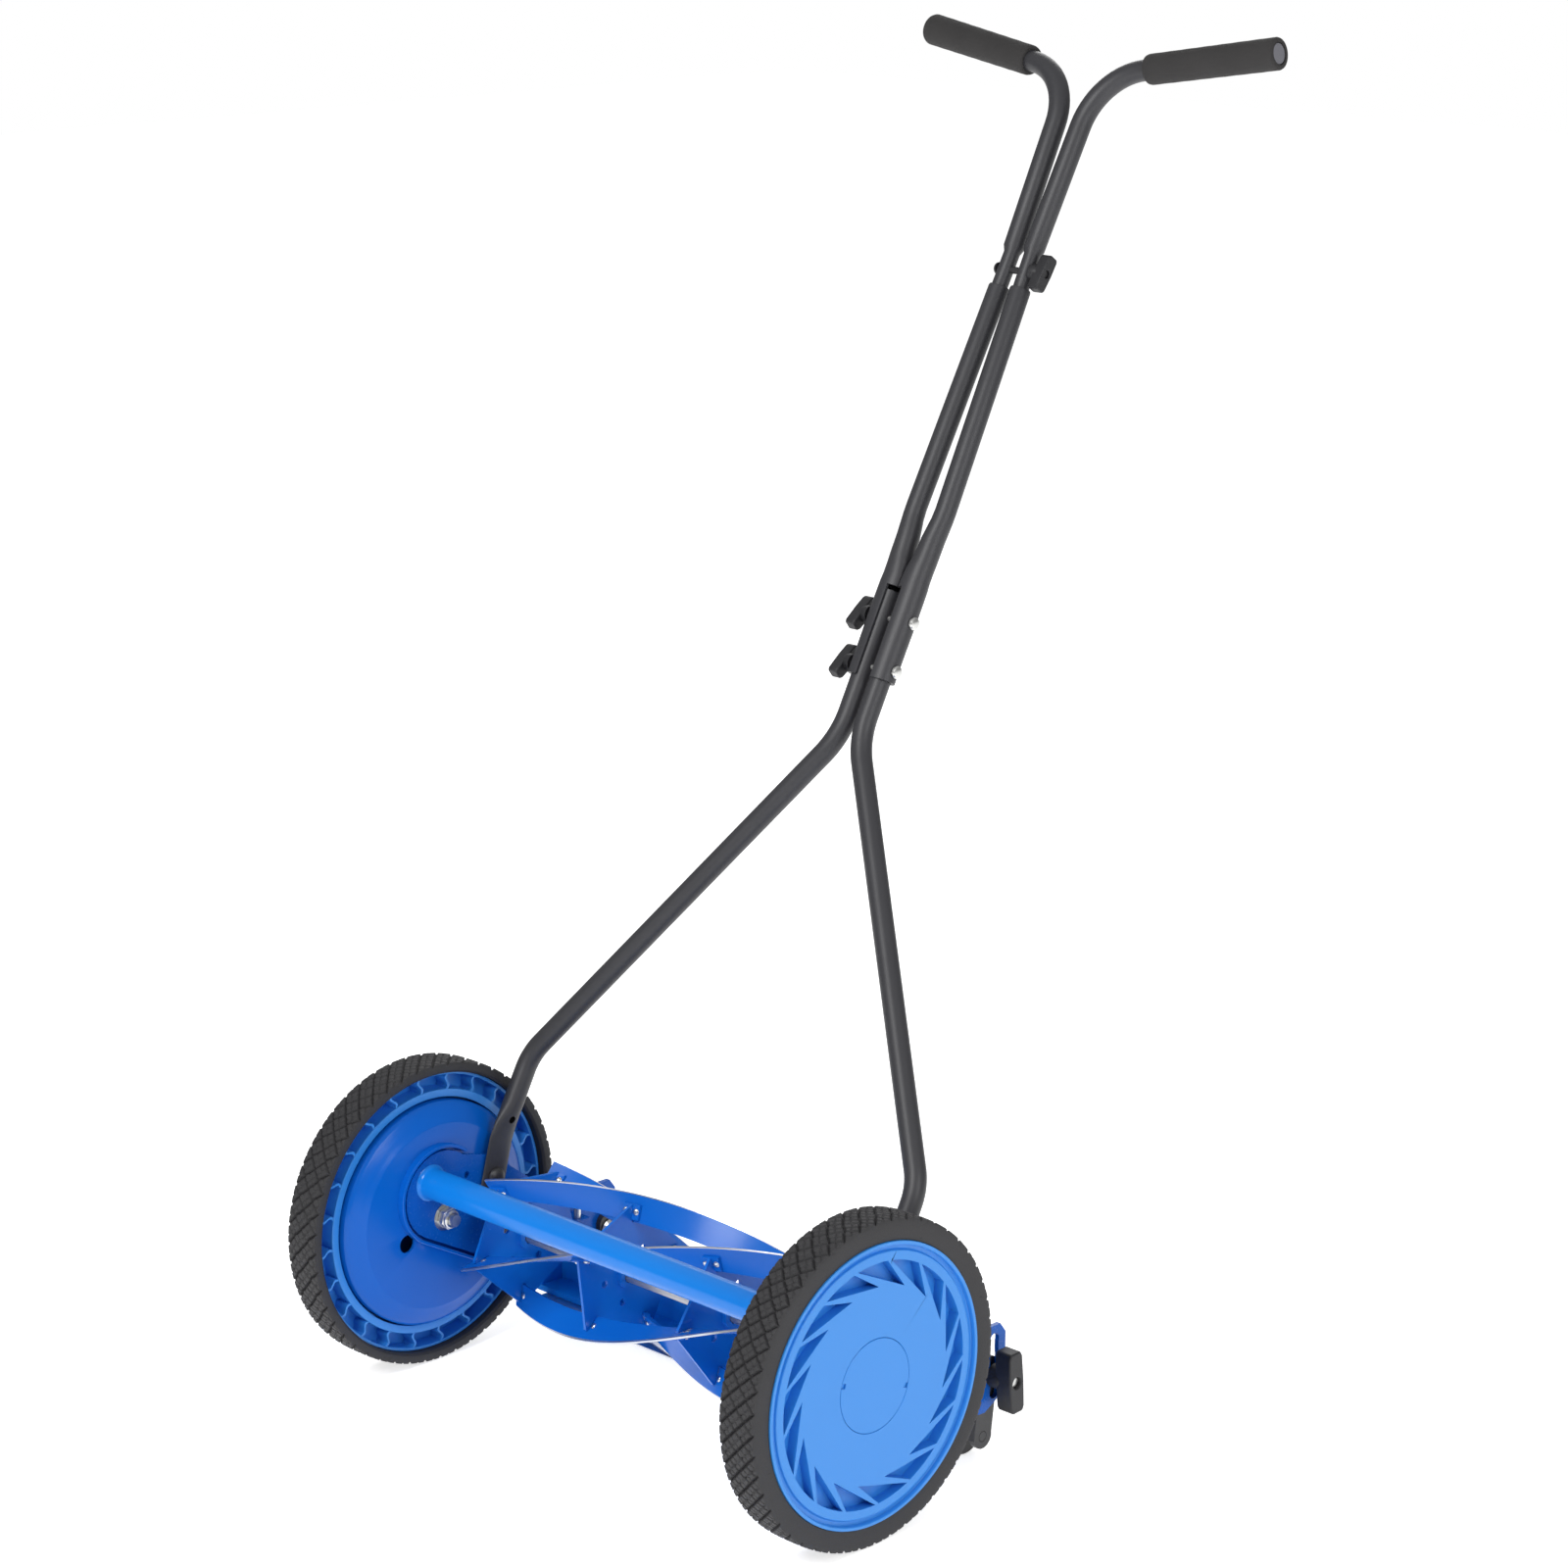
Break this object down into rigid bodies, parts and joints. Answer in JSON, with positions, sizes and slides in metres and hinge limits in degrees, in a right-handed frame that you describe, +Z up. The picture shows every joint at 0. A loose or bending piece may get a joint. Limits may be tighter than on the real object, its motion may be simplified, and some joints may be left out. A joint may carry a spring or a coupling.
{
  "type": "reel mower",
  "caption": "Hand-pushed reel lawn mower with blue moulded road wheels, helical blades behind a tie bar, a rear roller and a folding tubular T handle with foam grips",
  "frame": {"origin": "Middle of the mower footprint on the ground, z=0 at the lowest point of the tyres", "axes": "+X to the left side of the mower as its user walks, +Y towards the user, +Z up"},
  "size_m": [0.5288, 0.669, 1.0627],
  "materials": {
    "blue_moulding": "moulded blue plastic, semi-gloss",
    "tyre_rubber": "black rubber with diamond tread",
    "grip_foam": "closed-cell foam",
    "black_plastic": "moulded black plastic",
    "grey_paint": "dark grey powder coat",
    "black_paint": "black paint on steel",
    "zinc": "bright zinc plate",
    "bare_steel": "ground and turned steel",
    "blue_paint": "gloss blue enamel"
  },
  "bodies": {
    "chassis": {"side_plate_left": "blue_paint", "side_plate_right": "blue_paint", "tie_bar": "blue_paint", "gear_cover_left": "blue_moulding", "gear_cover_right": "blue_moulding", "axle_bolt_left": "zinc", "axle_bolt_right": "zinc", "axle_nut_left": "zinc", "axle_nut_right": "zinc", "reel_bearing_left": "bare_steel", "reel_bearing_right": "bare_steel", "handle_pivot_bolt_left": "black_paint", "handle_pivot_bolt_right": "black_paint"},
    "wheel_left": {"wheel_hub_left": "blue_moulding", "tyre_left": "tyre_rubber", "hub_cap_left": "blue_moulding"},
    "wheel_right": {"wheel_hub_right": "blue_moulding", "tyre_right": "tyre_rubber", "hub_cap_right": "blue_moulding"},
    "reel": {"reel_shaft": "bare_steel", "reel_spider_1": "blue_paint", "reel_spider_2": "blue_paint", "reel_spider_3": "blue_paint", "reel_spider_4": "blue_paint", "reel_blade_1": "blue_paint", "reel_blade_2": "blue_paint", "reel_blade_3": "blue_paint", "reel_blade_4": "blue_paint", "reel_blade_5": "blue_paint", "drive_pawl_left": "bare_steel", "drive_pawl_right": "bare_steel"},
    "pinion_left": {"pinion_left": "bare_steel"},
    "pinion_right": {"pinion_right": "bare_steel"},
    "cutter_bar": {"cutter_bar": "blue_paint", "bed_knife": "bare_steel"},
    "adjusting_screw_left": {"adjusting_screw_left": "zinc"},
    "adjusting_screw_right": {"adjusting_screw_right": "zinc"},
    "handle": {"lower_tube_left": "grey_paint", "middle_tube_left": "grey_paint", "upper_tube_left": "grey_paint", "foam_grip_left": "grip_foam", "lower_tube_right": "grey_paint", "middle_tube_right": "grey_paint", "upper_tube_right": "grey_paint", "foam_grip_right": "grip_foam", "lower_joint_bolt_1": "zinc", "lower_joint_bolt_2": "zinc", "upper_joint_bolt": "black_paint"},
    "lower_joint_knob_1": {"lower_joint_knob_1": "black_plastic"},
    "lower_joint_knob_2": {"lower_joint_knob_2": "black_plastic"},
    "upper_joint_knob": {"upper_joint_knob": "black_plastic"},
    "roller_frame": {"roller_bracket_left": "black_paint", "roller_bracket_right": "black_paint", "height_bolt_left": "zinc", "height_bolt_right": "zinc", "roller_shaft": "zinc"},
    "height_knob_left": {"height_knob_left": "black_plastic"},
    "height_knob_right": {"height_knob_right": "black_plastic"},
    "roller": {"rear_roller": "black_plastic"}
  },
  "joints": [
    {"name": "wheel_left_spin", "type": "hinge", "parent": "chassis", "child": "wheel_left", "pos_m": [0.246, -0.20746, 0.127], "axis": [1, 0, 0], "continuous": true},
    {"name": "wheel_right_spin", "type": "hinge", "parent": "chassis", "child": "wheel_right", "pos_m": [-0.246, -0.20746, 0.127], "axis": [1, 0, 0], "continuous": true},
    {"name": "reel_spin", "type": "hinge", "parent": "chassis", "child": "reel", "pos_m": [0, -0.14597, 0.10303], "axis": [1, 0, 0], "continuous": true},
    {"name": "pinion_left_spin", "type": "hinge", "parent": "chassis", "child": "pinion_left", "pos_m": [0.2455, -0.14597, 0.10303], "axis": [1, 0, 0], "continuous": true},
    {"name": "pinion_right_spin", "type": "hinge", "parent": "chassis", "child": "pinion_right", "pos_m": [-0.2455, -0.14597, 0.10303], "axis": [1, 0, 0], "continuous": true},
    {"name": "cutter_bar_tilt", "type": "hinge", "parent": "chassis", "child": "cutter_bar", "pos_m": [0, -0.08946, 0.08], "axis": [1, 0, 0], "range_deg": [0, 2]},
    {"name": "adjusting_screw_left_turn", "type": "hinge", "parent": "chassis", "child": "adjusting_screw_left", "pos_m": [0.207, -0.07446, 0.107], "axis": [0, 0, 1], "range_deg": [0, 180]},
    {"name": "adjusting_screw_right_turn", "type": "hinge", "parent": "chassis", "child": "adjusting_screw_right", "pos_m": [-0.207, -0.07446, 0.107], "axis": [0, 0, 1], "range_deg": [0, 180]},
    {"name": "handle_pivot", "type": "hinge", "parent": "chassis", "child": "handle", "pos_m": [0, -0.15656, 0.1496], "axis": [1, 0, 0], "range_deg": [-45, 30]},
    {"name": "lower_joint_knob_1_turn", "type": "hinge", "parent": "handle", "child": "lower_joint_knob_1", "pos_m": [-0.028, 0.0636, 0.57527], "axis": [1, 0, 0], "range_deg": [0, 360]},
    {"name": "lower_joint_knob_2_turn", "type": "hinge", "parent": "handle", "child": "lower_joint_knob_2", "pos_m": [-0.028, 0.08304, 0.61137], "axis": [1, 0, 0], "range_deg": [0, 360]},
    {"name": "upper_joint_knob_turn", "type": "hinge", "parent": "handle", "child": "upper_joint_knob", "pos_m": [0.025, 0.22455, 0.8742], "axis": [1, 0, 0], "range_deg": [0, 360]},
    {"name": "cutting_height", "type": "slide", "parent": "chassis", "child": "roller_frame", "axis": [0, 0, 1], "range_m": [-0.0145, 0.029]},
    {"name": "height_knob_left_turn", "type": "hinge", "parent": "roller_frame", "child": "height_knob_left", "pos_m": [0.238, -0.03296, 0.0705], "axis": [1, 0, 0], "range_deg": [0, 360]},
    {"name": "height_knob_right_turn", "type": "hinge", "parent": "roller_frame", "child": "height_knob_right", "pos_m": [-0.238, -0.03296, 0.0705], "axis": [1, 0, 0], "range_deg": [0, 360]},
    {"name": "roller_spin", "type": "hinge", "parent": "roller_frame", "child": "roller", "pos_m": [0, -0.04046, 0.02], "axis": [1, 0, 0], "continuous": true}
  ],
  "couplings": [
    {"joint": "reel_spin", "follows": "wheel_left_spin", "ratio": 5.4},
    {"joint": "pinion_left_spin", "follows": "wheel_left_spin", "ratio": 5.4},
    {"joint": "pinion_right_spin", "follows": "wheel_right_spin", "ratio": 5.4},
    {"joint": "adjusting_screw_left_turn", "follows": "cutter_bar_tilt", "ratio": 90},
    {"joint": "adjusting_screw_right_turn", "follows": "cutter_bar_tilt", "ratio": 90}
  ]
}
